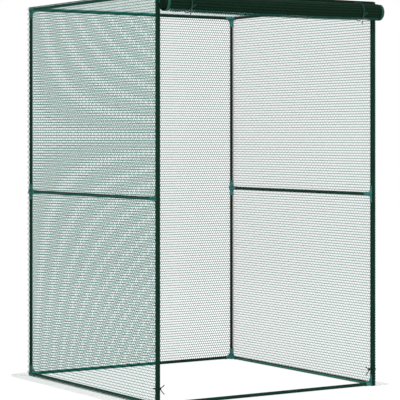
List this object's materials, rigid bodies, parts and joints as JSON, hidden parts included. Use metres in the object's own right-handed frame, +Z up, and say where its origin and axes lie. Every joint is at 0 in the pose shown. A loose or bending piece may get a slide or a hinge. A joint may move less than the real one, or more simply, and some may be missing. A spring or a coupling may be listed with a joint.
{
  "type": "crop cage",
  "caption": "Free-standing square crop cage: push-fit green steel tubes in teal moulded sockets, netted walls and roof, ground skirts, and a net door rolled up and tied over an open front.",
  "frame": {"origin": "on the ground, under the middle of the outline of the frame, its skirts and its door roll", "axes": "+Z up; the doorway faces -Y; +X is to the right when facing the doorway from outside"},
  "size_m": [1.3976, 1.4026, 1.8355],
  "materials": {
    "green_steel": "dark green powder coat, satin",
    "teal_plastic": "moulded polypropylene, satin",
    "green_net": "knitted polyethylene netting",
    "green_tape": "woven hem tape",
    "green_cord": "braided tie cord",
    "black_cord": "braided tie cord"
  },
  "bodies": {
    "cage": {"post_lower_front_left": "green_steel", "post_lower_front_right": "green_steel", "post_lower_back_left": "green_steel", "post_lower_back_right": "green_steel", "post_upper_front_left": "green_steel", "post_upper_front_right": "green_steel", "post_upper_back_left": "green_steel", "post_upper_back_right": "green_steel", "bottom_rail_front": "green_steel", "bottom_rail_back": "green_steel", "top_rail_front": "green_steel", "top_rail_back": "green_steel", "bottom_rail_left": "green_steel", "bottom_rail_right": "green_steel", "middle_rail_left": "green_steel", "middle_rail_right": "green_steel", "top_rail_left": "green_steel", "top_rail_right": "green_steel", "corner_socket_bottom_front_left": "teal_plastic", "corner_socket_bottom_front_right": "teal_plastic", "corner_socket_bottom_back_left": "teal_plastic", "corner_socket_bottom_back_right": "teal_plastic", "corner_socket_top_front_left": "teal_plastic", "corner_socket_top_front_right": "teal_plastic", "corner_socket_top_back_left": "teal_plastic", "corner_socket_top_back_right": "teal_plastic", "tee_socket_front_left": "teal_plastic", "tee_socket_front_right": "teal_plastic", "tee_socket_back_left": "teal_plastic", "tee_socket_back_right": "teal_plastic", "net_left": "green_net", "net_right": "green_net", "net_back": "green_net", "net_roof": "green_net", "skirt_left": "green_net", "skirt_right": "green_net", "skirt_back": "green_net", "doorway_tape_left": "green_tape", "doorway_tape_right": "green_tape", "doorway_tape_top": "green_tape", "door_net_top": "green_net", "roll_tie_left": "green_cord", "roll_tie_right": "green_cord", "post_tie_left": "black_cord", "post_tie_right": "black_cord"},
    "door_roll": {"door_net_roll": "green_net"}
  },
  "joints": [
    {"name": "door_drop", "type": "slide", "parent": "cage", "child": "door_roll", "axis": [0, 0, -1], "range_m": [0, 1.7381], "deforming": ["door_net_top"]}
  ]
}
